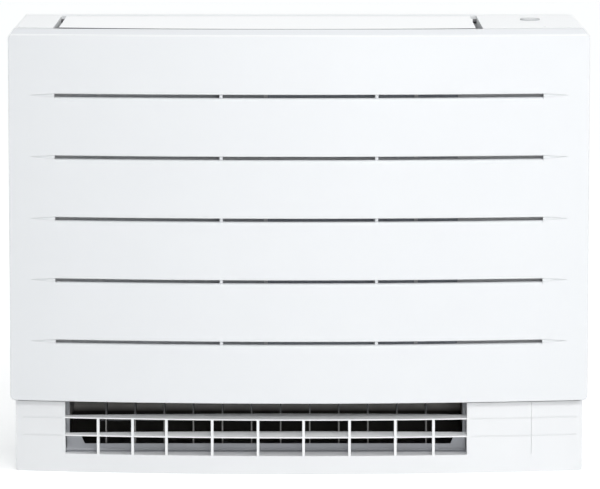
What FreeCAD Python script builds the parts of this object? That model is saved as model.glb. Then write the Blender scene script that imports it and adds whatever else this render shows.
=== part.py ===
import FreeCAD, Part
import math
import os

V = FreeCAD.Vector

# Outside of the unit, front towards -Y, floor at z = 0
width = 750.0
height = 586.0
depth = 238.0
front_bow = 32.0
panel_lap = 6.0
case_wall = 2.5
skin = 3.5
cover_wall = 3.0
base_thick = 3.0
foot_r = 5.0

# Running gaps between pieces that move past each other
pin_gap = 0.3
air_gap = 1.0

half = 0.5 * width
case_half = half - panel_lap
inner_half = case_half - case_wall
front_y = -0.5 * depth
back_y = 0.5 * depth
back_inner_y = back_y - case_wall
bow_r = (half * half + front_bow * front_bow) / (2.0 * front_bow)
bow_centre_y = front_y + bow_r

# Front panel, its slots and its bottom hinge
lower_top = 92.0
panel_gap = 2.0
panel_drop = 17.0
flange_rise = 8.0
flange_back = 15.0
panel_corner = 6.0
panel_return = 23.0
shoulder_drop = 4.0
shoulder_in = 7.0
slot_below = 78.3
slot_above = 77.5
slot_count = 5
slot_end = 60.0
slot_half_height = 2.2
slot_web = 4.2
lip_depth = 9.0
lip_step = 2.0
emboss_margin = 27.0
hinge_back = 43.0
hinge_up = 4.0
hinge_pin_r = 3.0
panel_bottom = lower_top + panel_gap
panel_top = height - panel_drop
flange_top = panel_top + flange_rise
shoulder_z = panel_top - shoulder_drop
slot_first = panel_bottom + slot_below
slot_pitch = (panel_top - slot_above - slot_first) / (slot_count - 1)
slot_z = [slot_first + slot_pitch * i for i in range(slot_count)]
slot_half_length = half - slot_end
slot_web_x = slot_half_length * 0.3175
emboss_end = half - emboss_margin
hinge_y = front_y + hinge_back
hinge_z = panel_bottom + hinge_up

# Top of the unit, a plane that rises towards the back
skirt_drop = 26.0
left_cover_wide = 52.0
right_cover_wide = 132.0
top_edge_r = 5.0
flap_gap = 5.0
flap_end_left = 7.0
flap_end_right = 9.0
flap_thick = 4.0
flap_pivot_in = 5.0
flap_pivot_drop = 6.5
flap_pin_r = 3.0
rail_wide = 27.0
button_in = 64.0
button_back = 87.0
button_r = 13.0
button_proud = 1.6
lamp_in = 51.0
lamp_front = 51.0
lamp_r = 1.6
top_front_y = front_y + flange_back + air_gap
top_skirt_z = height - skirt_drop
top_open_left = -case_half + left_cover_wide
top_open_right = case_half - right_cover_wide
rail_front_y = back_y - rail_wide
flap_left = top_open_left + flap_end_left
flap_right = top_open_right - flap_end_right
flap_back_y = rail_front_y - flap_gap
flap_pivot_y = flap_back_y - flap_pivot_in
button_x = case_half - button_in
button_y = back_y - button_back
lamp_x = case_half - lamp_in
lamp_y = front_y + lamp_front
top_rise = (height - flange_top) / (back_y - top_front_y)
top_tilt = math.degrees(math.atan(top_rise))

# Lower front and air outlet
lower_set_back = 9.0
sill_z = 24.0
left_end_wide = 65.0
right_end_wide = 151.0
seam_in = 67.0
seam_gap = 0.3
cheek_wall = 2.0
bar_share = (0.34, 0.681)
bar_clear = 2.0
bar_reach = 40.0
bar_rise = 3.5
bar_thick = 1.6
mullion_share = (0.0824, 0.1686, 0.2529, 0.3669, 0.4808, 0.5939, 0.7079, 0.8218, 0.9167)
mullion_wide = 3.4
duct_left = -case_half + left_end_wide
duct_right = case_half - right_end_wide
duct_wide = duct_right - duct_left
duct_front_y = hinge_y
seam_x = case_half - seam_in
bar_edge_z = [sill_z + share * (lower_top - sill_z) for share in bar_share]
bar_back_y = duct_front_y - bar_clear
mullion_x = [duct_left + share * duct_wide for share in mullion_share]

# Air path behind the panel
duct_wall = 3.0
duct_floor = 17.0
duct_roof_up = 12.0
mouth_rib = 4.5
housing_drop = 54.0
coil_back = 75.0
coil_thick = 36.0
coil_to_housing = 23.0
coil_left_gap = 8.0
coil_right_gap = 12.0
coil_up = 40.0
coil_drop = 74.0
tube_count = 14
tube_end = 12.5
tube_top = 14.5
tube_inset = 9.0
tube_r = 3.5
fin_count = 40
fin_thick = 1.6
fin_web = 2.0
end_plate_thick = 2.0
bend_reach = 9.0
fan_room = 51.0
fan_lift = 13.0
fan_front_gap = 9.0
fan_back_gap = 17.5
fan_eye_in = 46.0
fan_blades = 7
blade_thick = 2.5
hub_gap = 0.05
motor_r = 46.0
shaft_r = 5.0
frame_back = 45.0
frame_thick = 3.0
window_up = 34.0
window_drop = 60.0
window_bar_share = (0.0862, 0.3889, 0.5, 0.7720, 0.8736)
filter_thick = 6.0
duct_roof = lower_top + duct_roof_up
housing_top = top_skirt_z - housing_drop
coil_y0 = front_y + coil_back
coil_y1 = coil_y0 + coil_thick
coil_z0 = panel_bottom + coil_up
coil_z1 = top_skirt_z - coil_drop
coil_x0 = duct_left + coil_left_gap
coil_x1 = duct_right - coil_right_gap
tube_pitch = (coil_z1 - coil_z0 - tube_end - tube_top) / (tube_count - 1)
housing_front_y = coil_y1 + coil_to_housing
housing_back_y = back_inner_y - duct_wall
housing_deep = housing_back_y - housing_front_y
fan_x = 0.5 * (duct_left + duct_right)
fan_z = 0.5 * (duct_roof + housing_top) + fan_lift
fan_r = 0.5 * (housing_top - duct_roof) - fan_room
fan_eye_r = fan_r - fan_eye_in
fan_front_y = housing_front_y + fan_front_gap
fan_back_y = housing_back_y - fan_back_gap
fan_deep = fan_back_y - fan_front_y
frame_y0 = front_y + frame_back
frame_y1 = frame_y0 + frame_thick
window_z0 = panel_bottom + window_up
window_z1 = top_skirt_z - window_drop

# Swinging vanes in both outlets and the bars that tie them together
vane_thick = 1.8
vane_pin_r = 2.0
vane_ahead = 14.0
vane_behind = 14.0
vane_crank = 11.0
crank_peg_r = 1.3
notch_half = 4.0
notch_depth = 5.5
vane_hook = 8.0
low_vane_count = 12
low_vane_end = 51.45
low_vane_in = 34.0
low_vane_foot = 4.0
low_vane_head = 5.0
top_vane_count = 6
top_vane_end = 62.0
top_vane_foot = 3.0
top_vane_head = 8.0
low_vane_pitch = (duct_wide - 2.0 * low_vane_end) / (low_vane_count - 1)
low_vane_y = duct_front_y + low_vane_in
low_vane_z0 = duct_floor + duct_wall + low_vane_foot
low_vane_z1 = duct_roof - duct_wall - low_vane_head
top_vane_pitch = (top_open_right - top_open_left - 2.0 * top_vane_end) / (top_vane_count - 1)
top_vane_y = housing_front_y + 0.315 * housing_deep
top_vane_z0 = housing_top + duct_wall + top_vane_foot
top_vane_z1 = top_skirt_z - top_vane_head

# Lower flap at the sill
low_flap_in = 9.0
low_flap_foot = 0.6
low_flap_tall = 13.0
low_flap_ends = 22.5
low_flap_pin_up = 5.0
low_flap_y = duct_front_y + low_flap_in
low_flap_z = duct_floor + duct_wall + low_flap_foot
low_flap_pin_z = low_flap_z + low_flap_pin_up

# Right hand compartment
box_gap = 18.0
box_side_gap = 2.0
box_front = 65.0
box_back = 55.0
box_up = 106.0
box_drop = 80.0
box_wall = 1.5
gas_r = 4.76
liquid_r = 3.175
pipe_drop = 30.0
gas_off = 10.6
liquid_off = 28.0
gas_end_off = 52.0
liquid_end_off = 82.0
pipe_turn = 89.0
pipe_stop = 37.0
nut_long = 20.0
gas_nut_across = 22.0
liquid_nut_across = 17.0
step_motor_r = 12.0
step_motor_long = 16.0
box_x0 = duct_right + box_gap
box_x1 = inner_half - box_side_gap
box_y0 = front_y + box_front
box_y1 = back_y - box_back
box_z0 = panel_bottom + box_up
box_z1 = top_skirt_z - box_drop
box_tall = box_z1 - box_z0
pipe_z = lower_top - pipe_drop
gas_x = duct_right + gas_off
liquid_x = duct_right + liquid_off
gas_end_x = duct_right + gas_end_off
liquid_end_x = duct_right + liquid_end_off
pipe_turn_y = back_y - pipe_turn
pipe_end_y = back_y - pipe_stop

# Wall screws through the back
screw_in = 69.0
screw_up = 120.0
screw_drop = 86.0
screw_r = 3.5
screw_x = case_half - screw_in
screw_z0 = screw_up
screw_z1 = height - screw_drop

os.makedirs("parts", exist_ok=True)


def save(name, shape):
    shape.exportStep("parts/" + name + ".step")
    print(name, len(shape.Solids), round(shape.Volume / 1000.0, 2))


def block(x0, x1, y0, y1, z0, z1):
    return Part.makeBox(x1 - x0, y1 - y0, z1 - z0, V(x0, y0, z0))


def rod(x, y, z, axis, radius, length):
    return Part.makeCylinder(radius, length, V(x, y, z), V(*axis))


def facet_rod(x, y, z, axis, radius, length, sides=12):
    # Many-sided rod or hole whose flats lie at the radius
    corner_r = radius / math.cos(math.pi / sides)
    corners = Part.makeCircle(corner_r, V(x, y, z), V(*axis)).discretize(sides + 1)
    corners[-1] = corners[0]
    return Part.Face(Part.makePolygon(corners)).extrude(V(*axis).multiply(length))


def prism(points, along):
    wire = Part.makePolygon(points + [points[0]])
    return Part.Face(wire).extrude(along)


def side_form(yz, x0, x1):
    return prism([V(x0, y, z) for y, z in yz], V(x1 - x0, 0, 0))


def face_form(xz, y0, y1):
    return prism([V(x, y0, z) for x, z in xz], V(0, y1 - y0, 0))


def fused(shapes):
    return shapes[0].multiFuse(shapes[1:]) if len(shapes) > 1 else shapes[0]


def group(shapes):
    return Part.makeCompound(shapes)


def bow_y(x, near):
    # Y of the bowed front at this x, a given depth behind the panel face
    radius = bow_r - near
    return bow_centre_y - math.sqrt(radius * radius - x * x)


def bow_form(section, x0, x1):
    # Sweep a section of (depth behind the face, z) points along the bowed front
    sweep = 24.0
    points = [V(0, front_y + n, z) for n, z in section]
    face = Part.Face(Part.makePolygon(points + [points[0]]))
    axis = V(0, bow_centre_y, 0)
    face.rotate(axis, V(0, 0, 1), -0.5 * sweep)
    solid = face.revolve(axis, V(0, 0, 1), sweep)
    low = min(z for n, z in section) - 1.0
    high = max(z for n, z in section) + 1.0
    return solid.common(block(x0, x1, front_y - 20.0, back_y + 20.0, low, high))


def bow_slab(x0, x1, near, far, z0, z1):
    return bow_form([(near, z0), (far, z0), (far, z1), (near, z1)], x0, x1)


def behind_bow(near, x0, x1, y1, z0, z1):
    # Everything between the bowed front and a flat back plane
    return bow_form([(near, z0), (420.0, z0), (420.0, z1), (near, z1)], x0, x1).common(
        block(x0, x1, front_y - 20.0, y1, z0, z1))


def round_plate(x0, x1, z0, z1, radius, y0, y1):
    plate = block(x0, x1, y0, y1, z0, z1)
    edges = [e for e in plate.Edges if abs(e.Vertexes[0].Y - e.Vertexes[1].Y) > 0.5 * (y1 - y0)]
    return plate.makeFillet(radius, edges)


def top_z(y, drop=0.0):
    # Height of the sloping top at this y
    return flange_top + top_rise * (y - top_front_y) - drop


def top_slab(y0, y1, drop0, drop1, x0, x1):
    return side_form([(y0, top_z(y0, drop1)), (y0, top_z(y0, drop0)),
                      (y1, top_z(y1, drop0)), (y1, top_z(y1, drop1))], x0, x1)


def ring(x, y, z, axis, outer, inner, length):
    return rod(x, y, z, axis, outer, length).cut(rod(x, y, z, axis, inner, length))


def panel_section(z_low, z_high):
    # Section of the panel between two slots, or to its bottom edge or top flange where none is given
    h = slot_half_height
    points = []
    if z_low is None:
        points += [(0.0, panel_bottom), (skin, panel_bottom)]
    else:
        z = z_low + h
        points += [(0.0, z), (lip_depth - lip_step, z), (lip_depth - lip_step, z + 2.0), (skin, z + 3.0)]
    if z_high is None:
        points += [(skin, panel_top - 1.5), (flange_back, flange_top - skin), (flange_back, flange_top),
                   (0.0, panel_top)]
    else:
        # The edge below a slot curls inwards
        z = z_high - h
        points += [(skin, z - 4.5), (lip_depth, z - 2.0), (lip_depth, z), (4.0, z), (2.0, z - 0.5),
                   (0.7, z - 1.6), (0.0, z - 3.4)]
    return points


def panel_outline():
    # Front view of the panel, with round lower corners and drawn-in upper ones
    plate = block(-half, half, front_y - 5.0, 0.0, panel_bottom, flange_top)
    low = [e for e in plate.Edges if e.BoundBox.YLength > 1.0 and e.BoundBox.ZMax < panel_bottom + 0.01]
    plate = plate.makeFillet(panel_corner, low)
    for side in (-1, 1):
        corner = [(side * half, shoulder_z), (side * (half - 0.2 * shoulder_in), shoulder_z + 3.5),
                  (side * (half - shoulder_in), flange_top), (side * (half - shoulder_in), flange_top + 1.0),
                  (side * (half + 1.0), flange_top + 1.0), (side * (half + 1.0), shoulder_z)]
        plate = plate.cut(face_form(corner, front_y - 6.0, 1.0))
    return plate


def front_panel():
    # Bowed bands between the slots, joined by plain ends and small webs
    levels = [None] + slot_z + [None]
    pieces = [bow_form(panel_section(low, high), -slot_half_length, slot_half_length)
              for low, high in zip(levels[:-1], levels[1:])]
    for z in slot_z:
        for x in (-slot_web_x, slot_web_x):
            pieces.append(bow_slab(x - 0.5 * slot_web, x + 0.5 * slot_web, 3.0, lip_depth - lip_step,
                                   z - slot_half_height, z + slot_half_height))
    outline = panel_outline()
    side_y = bow_y(half, 0.0)
    for side in (-1, 1):
        x0, x1 = sorted((side * slot_half_length, side * half))
        end = bow_form(panel_section(None, None), x0, x1)
        # Side return that wraps round the casing
        r0, r1 = sorted((side * half, side * (half - skin)))
        end = end.fuse(block(r0, r1, side_y + 0.5, side_y + panel_return, panel_bottom, panel_top + 1.0))
        end = end.common(outline)
        # Emboss that fades past the end of each slot
        for z in slot_z:
            wedge = face_form([(side * slot_half_length, z - slot_half_height), (side * emboss_end, z),
                               (side * slot_half_length, z + slot_half_height)], front_y - 5.0, -60.0)
            end = end.cut(wedge.common(bow_slab(-half, half, -2.0, 0.8, z - 6.0, z + 6.0)))
        # Hinge pin that reaches through the side wall
        p0, p1 = sorted((side * (half - 0.5 * skin), side * inner_half))
        pieces.append(end.fuse(rod(p0, hinge_y, hinge_z, (1, 0, 0), hinge_pin_r, p1 - p0)))
    return fused(pieces)


def foot_corners():
    # What is taken off the casing's two lower corners, a quarter round in four flats
    steps = [math.radians(22.5 * i) for i in range(5)]
    arc = [(case_half - foot_r + foot_r * math.cos(t), foot_r - foot_r * math.sin(t)) for t in steps]
    outline = arc + [(case_half - foot_r, -1.0), (case_half + 1.0, -1.0), (case_half + 1.0, foot_r)]
    return group([face_form([(side * x, z) for x, z in outline], front_y - 5.0, back_y + 5.0) for side in (-1, 1)])


def side_panel(side):
    # Flat side wall with the hole for the panel hinge pin
    front = bow_y(case_half, lower_set_back + cover_wall)
    edge = bow_y(case_half, skin + air_gap)
    ear = edge + 2.0
    x0 = -case_half if side < 0 else inner_half
    outline = [(front, 0.0), (front, lower_top), (ear, lower_top), (ear, hinge_z + 12.0),
               (edge, hinge_z + 12.0), (edge, top_skirt_z),
               (back_inner_y, top_skirt_z), (back_inner_y, 0.0)]
    wall = side_form(outline, x0, x0 + case_wall)
    wall = wall.cut(rod(x0 - 1.0, hinge_y, hinge_z, (1, 0, 0), hinge_pin_r + pin_gap, case_wall + 2.0))
    # Stiffening ribs inside
    xr = x0 + case_wall if side < 0 else x0 - 2.0
    for y in (back_y - 79.0, back_y - 39.0):
        wall = wall.fuse(block(xr, xr + 2.0, y, y + 2.0, 20.0, top_skirt_z - 20.0))
    return wall


def back_panel():
    plate = block(-case_half, case_half, back_inner_y, back_y, 0.0, top_skirt_z)
    for x in (-screw_x, screw_x):
        for z in (screw_z0, screw_z1):
            plate = plate.cut(rod(x, back_inner_y - 1.0, z, (0, 1, 0), screw_r, case_wall + 2.0))
    # Opening for the pipes at the lower right
    exit_x0 = gas_end_x - 12.0
    exit_x1 = liquid_end_x + 18.0
    hole = round_plate(exit_x0, exit_x1, pipe_z - 28.0, pipe_z + 28.0, 14.0, back_inner_y - 1.0, back_y + 1.0)
    return plate.cut(hole)


def base_tray():
    # Floor of the casing with feet rails along front and back
    tray = behind_bow(lower_set_back + cover_wall, -inner_half, inner_half, back_inner_y, 0.0, base_thick)
    for y in (front_y + 59.0, back_y - 49.0):
        tray = tray.fuse(block(duct_left + 4.0, duct_right - 3.0, y, y + 4.0, base_thick - 0.5, duct_floor))
    return tray


def top_cover(x0, x1, outer_side):
    # Shell with a sloping top, open underneath
    near = flange_back + air_gap
    front = bow_y(0.0, near)
    outline = [(front, top_skirt_z), (front, top_z(front)), (back_y, height), (back_y, top_skirt_z)]
    region = behind_bow(near, x0, x1, back_y, top_skirt_z, height + 1.0)
    body = side_form(outline, x0, x1).common(region)
    edge_x = x0 if outer_side < 0 else x1
    edges = []
    for e in body.Edges:
        ends = [v.Point for v in e.Vertexes]
        if len(ends) == 2 and all(abs(p.x - edge_x) < 0.01 and abs(p.z - top_z(p.y)) < 0.01 for p in ends):
            edges.append(e)
    body = body.makeFillet(top_edge_r, edges)
    w = case_wall
    inner = [(front, top_skirt_z - 1.0), (front, top_z(front, w)), (back_inner_y, top_z(back_inner_y, w)),
             (back_inner_y, top_skirt_z - 1.0)]
    hollow = side_form(inner, x0 + w, x1 - w).common(
        behind_bow(near + w, x0 + w, x1 - w, back_inner_y, top_skirt_z - 1.0, height))
    return body.cut(hollow)


def flap_pivot_z():
    return top_z(flap_pivot_y, flap_pivot_drop)


def left_top_cover():
    body = top_cover(-case_half, top_open_left, -1)
    hole = rod(top_open_left - 10.0, flap_pivot_y, flap_pivot_z(), (1, 0, 0), flap_pin_r + pin_gap, 12.0)
    return body.cut(hole)


def top_normal():
    a = math.radians(top_tilt)
    return (0.0, -math.sin(a), math.cos(a))


def right_top_cover():
    body = top_cover(top_open_right, case_half, 1)
    body = body.cut(rod(top_open_right - 1.0, flap_pivot_y, flap_pivot_z(), (1, 0, 0), flap_pin_r + pin_gap, 12.0))
    n = top_normal()
    z = top_z(button_y)
    body = body.cut(rod(button_x, button_y - 8.0 * n[1], z - 8.0 * n[2], n, button_r + pin_gap, 12.0))
    z = top_z(lamp_y)
    return body.cut(facet_rod(lamp_x, lamp_y - 8.0 * n[1], z - 8.0 * n[2], n, lamp_r, 12.0))


def rear_rail():
    # Strip behind the flap that closes the back of the top
    outline = [(rail_front_y, top_skirt_z), (rail_front_y, top_z(rail_front_y)), (back_y, height),
               (back_y, top_skirt_z)]
    w = case_wall
    inner = [(rail_front_y + w, top_skirt_z - 1.0), (rail_front_y + w, top_z(rail_front_y + w, w)),
             (back_inner_y, top_z(back_inner_y, w)), (back_inner_y, top_skirt_z - 1.0)]
    body = side_form(outline, top_open_left, top_open_right)
    return body.cut(side_form(inner, top_open_left + w, top_open_right - w))


def upper_flap():
    # Long blade level with the top, carried on end pins near its back edge
    near = flange_back + 4.0
    front = bow_y(0.0, near)
    blade = top_slab(front, flap_back_y, 0.0, flap_thick, flap_left, flap_right)
    blade = blade.common(behind_bow(near, flap_left, flap_right, flap_back_y, top_skirt_z, height))
    rib_y = frame_y0 + 4.0
    span = flap_right - flap_left - 4.0
    for x in [flap_left + span * i / 3.0 for i in range(4)]:
        rib = side_form([(rib_y, top_z(rib_y, flap_thick)), (flap_back_y, top_z(flap_back_y, flap_thick)),
                         (flap_back_y, top_z(flap_back_y, 11.0)), (flap_pivot_y - 8.0, top_z(flap_back_y, 11.0))],
                        x, x + 4.0)
        blade = blade.fuse(rib)
    z = flap_pivot_z()
    reach_left = flap_left - top_open_left + case_wall - 0.2
    reach_right = top_open_right + case_wall - flap_right - 0.2
    blade = blade.fuse(rod(flap_left - reach_left, flap_pivot_y, z, (1, 0, 0), flap_pin_r, reach_left + 2.0))
    return blade.fuse(rod(flap_right - 2.0, flap_pivot_y, z, (1, 0, 0), flap_pin_r, reach_right + 2.0))


def push_button():
    n = top_normal()
    z = top_z(button_y)
    body = rod(button_x, button_y - 4.0 * n[1], z - 4.0 * n[2], n, button_r, 4.0 + button_proud)
    # Shallow dish inside a raised rim
    lift = button_proud - 0.5
    dish = rod(button_x, button_y + lift * n[1], z + lift * n[2], n, button_r - 1.6, 2.0)
    return body.cut(dish)


def indicator_lamp():
    n = top_normal()
    z = top_z(lamp_y)
    return facet_rod(lamp_x - 5.0 * n[0], lamp_y - 5.0 * n[1], z - 5.0 * n[2], n, lamp_r, 5.0)


def control_board():
    # Small board under the right cover that carries the lamp and the button switch
    board = top_slab(lamp_y - 2.5, button_y + 28.0, 0.0, 1.6, top_open_right + 30.0, case_half - 20.0)
    board.translate(V(0, 0, -10.0))
    z = top_z(button_y) - 10.0
    switch = block(button_x - 3.0, button_x + 3.0, button_y - 3.0, button_y + 3.0, z - 0.5, z + 3.2)
    post = block(lamp_x - 1.0, lamp_x + 1.0, lamp_y - 1.0, lamp_y + 1.0, top_z(lamp_y) - 10.5, top_z(lamp_y) - 5.1)
    mid = 0.5 * (lamp_y + button_y)
    lug = block(top_open_right + case_wall, top_open_right + 30.0, mid - 15.0, mid + 15.0,
                top_z(mid) - 11.5, top_z(mid) - 10.5)
    return board.fuse(switch).fuse(post).fuse(lug)


def lower_grooves(x0, x1):
    # Lines that carry the grille bars on across the plain front
    cuts = []
    for z in bar_edge_z:
        cuts.append(bow_slab(x0, x1, lower_set_back - 1.0, lower_set_back + 0.8, z - 0.2, z + 1.4))
    return group(cuts)


def lower_front():
    # Face, ledge under the panel and a strip set back above the outlet
    a = lower_set_back
    x0 = -case_half
    x1 = seam_x
    body = bow_slab(x0, x1, a, a + cover_wall, 0.0, lower_top)
    body = body.fuse(bow_slab(-inner_half, x1, a, a + 12.0, lower_top - 3.0, lower_top))
    body = body.fuse(bow_slab(-inner_half + 6.0, x1, a + 9.0, a + 12.0, lower_top - 3.0, lower_top + 18.0))
    body = body.cut(block(duct_left, duct_right, front_y - 5.0, duct_front_y + 36.0, sill_z, lower_top + 6.0))
    # Flat sill that runs back to the duct
    sill = behind_bow(a, duct_left, duct_right, duct_front_y, sill_z - 3.0, sill_z)
    body = body.fuse(sill)
    # White cheeks at both ends of the outlet
    for x in (duct_left - cheek_wall, duct_right):
        body = body.fuse(behind_bow(a, x, x + cheek_wall, duct_front_y, sill_z - 3.0, lower_top))
    body = body.cut(lower_grooves(-case_half + 10.0, duct_left - 4.0))
    return body.cut(lower_grooves(duct_right + 4.0, seam_x + 1.0))


def service_cover():
    # Removable piece of the lower front, right of the seam
    a = lower_set_back
    x0 = seam_x + seam_gap
    body = bow_slab(x0, case_half, a, a + cover_wall, 0.0, lower_top)
    # The seam closes up below the level of the sill
    body = body.fuse(bow_slab(seam_x, case_half - 10.0, a, a + cover_wall, 0.0, sill_z))
    body = body.fuse(bow_slab(x0, inner_half, a, a + 12.0, lower_top - 3.0, lower_top))
    return body.cut(lower_grooves(x0 - 1.0, case_half - 8.0))


def outlet_grille():
    # Two slats, bowed in front and straight behind, joined by short uprights
    a = lower_set_back + 0.5
    pieces = []
    for z in bar_edge_z:
        slat = [(a, z), (a, z + bar_thick), (a + bar_reach, z + bar_thick + bar_rise), (a + bar_reach, z + bar_rise)]
        depth_cut = block(duct_left, duct_right, front_y - 5.0, bar_back_y, z - 1.0, z + bar_thick + bar_rise + 1.0)
        pieces.append(bow_form(slat, duct_left, duct_right).common(depth_cut))
    for x in mullion_x:
        pieces.append(bow_slab(x - 0.5 * mullion_wide, x + 0.5 * mullion_wide, a + 0.6, a + 9.0,
                               sill_z, bar_edge_z[1] + 1.0))
    return fused(pieces)


def low_vane_xs():
    first = fan_x - 0.5 * (low_vane_count - 1) * low_vane_pitch
    return [first + low_vane_pitch * i for i in range(low_vane_count)]


def top_vane_xs():
    centre = 0.5 * (top_open_left + top_open_right)
    first = centre - 0.5 * (top_vane_count - 1) * top_vane_pitch
    return [first + top_vane_pitch * i for i in range(top_vane_count)]


def vane(x, y, z0, z1, pin):
    # Thin blade on one pivot pin at its foot, with a crank peg in a notch at its back edge
    t = 0.5 * vane_thick
    mid = 0.5 * (z0 + z1)
    back = y + vane_behind
    front = y - vane_ahead
    hook = vane_hook
    outline = [(front, z0), (back, z0), (back, mid - notch_half), (y + notch_depth, mid - notch_half),
               (y + notch_depth, mid + notch_half), (back, mid + notch_half), (back, z1), (front + hook, z1),
               (front + 0.6 * hook, z1 - 0.6 * hook), (front, z1 - hook)]
    blade = side_form(outline, x - t, x + t)
    peg = crank_peg_r
    crank = y + vane_crank
    blade = blade.fuse(prism([V(x - peg, crank, mid - notch_half), V(x, crank - peg, mid - notch_half),
                              V(x + peg, crank, mid - notch_half), V(x, crank + peg, mid - notch_half)],
                             V(0, 0, 2.0 * notch_half)))
    return blade.fuse(rod(x, y, z0 - pin, (0, 0, 1), vane_pin_r, pin + 4.0))


def tie_bar(xs, y, z0, z1):
    # Slotted bar that makes all vanes of one outlet turn together
    mid = 0.5 * (z0 + z1)
    bar = block(xs[0] - 8.0, xs[-1] + 8.0, y + 6.8, y + 16.0, mid - 2.0, mid + 2.0)
    slots = [block(x - 1.8, x + 1.8, y + 5.0, y + 13.5, mid - 4.0, mid + 4.0) for x in xs]
    return bar.cut(group(slots))


def lower_flap():
    # Low deflector plate with taller ends, on end pins at the sill
    y = low_flap_y
    x0 = duct_left + 1.0
    x1 = duct_right - 1.0
    z = low_flap_z
    low = z + low_flap_tall
    high = z + low_flap_ends
    face = [(x0, z), (x1, z), (x1, high), (x1 - 15.0, high), (x1 - 19.0, low),
            (x0 + 23.0, low), (x0 + 19.0, high), (x0, high)]
    plate = face_form(face, y - 1.0, y + 1.0)
    plate = plate.fuse(rod(x0 + 0.8 - duct_wall, y, low_flap_pin_z, (1, 0, 0), 2.0, x1 - x0 - 1.6 + 2.0 * duct_wall))
    return plate


def lower_duct():
    # Open box that turns the fan air forward under the coil
    x0 = duct_left - duct_wall
    x1 = duct_right + duct_wall
    outline = [(duct_front_y, duct_floor), (duct_front_y, duct_roof), (back_inner_y, duct_roof),
               (back_inner_y, duct_floor + 50.0), (back_inner_y - 50.0, duct_floor)]
    w = duct_wall
    air = [(duct_front_y - 1.0, duct_floor + w), (duct_front_y - 1.0, duct_roof - w),
           (housing_front_y, duct_roof - w), (housing_front_y, duct_roof + 1.0), (housing_back_y, duct_roof + 1.0),
           (housing_back_y, duct_floor + 50.0 + w), (housing_back_y - 48.0, duct_floor + w)]
    body = side_form(outline, x0, x1).cut(side_form(air, duct_left, duct_right))
    # Upright ribs just behind the lower flap, one at each end
    rib_y = low_flap_y + 7.0
    for x in (duct_left - 0.5, duct_right + 0.5 - mouth_rib):
        body = body.fuse(block(x, x + mouth_rib, rib_y, rib_y + 3.0, duct_floor + 1.0, duct_roof - 1.0))
    for x in low_vane_xs():
        body = body.cut(facet_rod(x, low_vane_y, duct_floor - 1.0, (0, 0, 1), vane_pin_r + pin_gap, 5.0))
    return body.cut(facet_rod(x0 - 1.0, low_flap_y, low_flap_pin_z, (1, 0, 0), 2.0 + pin_gap, x1 - x0 + 2.0))


def upper_duct():
    # Funnel from the fan housing to the opening in the top
    x0 = top_open_left
    x1 = top_open_right
    w = duct_wall
    z0 = housing_top
    front = frame_y1
    knee = top_skirt_z - 12.0
    over = top_skirt_z + 10.0
    wall = side_form([(housing_front_y - w, z0), (front, knee), (front, top_skirt_z), (back_inner_y, top_skirt_z),
                      (back_inner_y, z0)], x0 + 7.0, x1 - 7.0)
    air = side_form([(housing_front_y, z0 + w), (front + w, knee + 0.5 * w), (front + w, over), (housing_back_y, over),
                     (housing_back_y, z0 + w)], x0 + 7.0 + w, x1 - 7.0 - w)
    body = wall.cut(air)
    hole_y = housing_back_y - 0.4 * housing_deep
    body = body.cut(block(duct_left + 4.0, duct_right - 4.0, hole_y, housing_back_y, z0 - 1.0, z0 + w + 1.0))
    for x in top_vane_xs():
        body = body.cut(facet_rod(x, top_vane_y, z0 - 1.0, (0, 0, 1), vane_pin_r + pin_gap, 6.0))
    return body


def fan_housing():
    # Rear chamber round the fan, open at the top and at the bottom
    w = duct_wall
    x0 = duct_left - w
    x1 = duct_right + w
    body = block(x0, x1, housing_front_y, back_inner_y, duct_roof, housing_top)
    body = body.cut(block(duct_left, duct_right, housing_front_y - 1.0, housing_back_y, duct_roof - 1.0, housing_top + 1.0))
    body = body.cut(rod(fan_x, housing_back_y - 1.0, fan_z, (0, 1, 0), 12.0, 10.0))
    # Two fairings guide the air off the fan
    for side in (-1, 1):
        x = duct_left if side < 0 else duct_right
        tip = x - side * 0.111 * duct_wide
        z = fan_z + side * 0.4 * fan_r
        reach = 0.533 * fan_r
        fairing = face_form([(x, z - reach), (x, z + reach), (tip, z)], housing_front_y, housing_back_y)
        swept = rod(fan_x, housing_front_y - 1.0, fan_z, (0, 1, 0), fan_r + 18.0, housing_deep + 2.0)
        body = body.fuse(fairing.cut(swept))
    return body


def turned(points, x, z):
    # Turn a section of (radius, y) points round the fan axis
    wire = Part.makePolygon([V(x + r, y, z) for r, y in points + [points[0]]])
    return Part.Face(wire).revolve(V(x, 0, z), V(0, 1, 0), 360.0)


def bell_mouth():
    # Partition with the flared inlet of the fan
    y0 = housing_front_y - 3.0
    plate = block(duct_left - duct_wall, duct_right + duct_wall, y0, housing_front_y, duct_roof, housing_top)
    plate = plate.cut(rod(fan_x, y0 - 1.0, fan_z, (0, 1, 0), fan_eye_r + 22.0, 6.0))
    flare = [(fan_eye_r + 22.5, y0), (fan_eye_r + 22.5, y0 + 3.0), (fan_eye_r + 2.5, y0 + 7.0),
             (fan_eye_r, y0 + 18.0), (fan_eye_r - 2.5, y0 + 18.0), (fan_eye_r, y0 + 4.0)]
    return plate.fuse(turned(flare, fan_x, fan_z))


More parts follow.
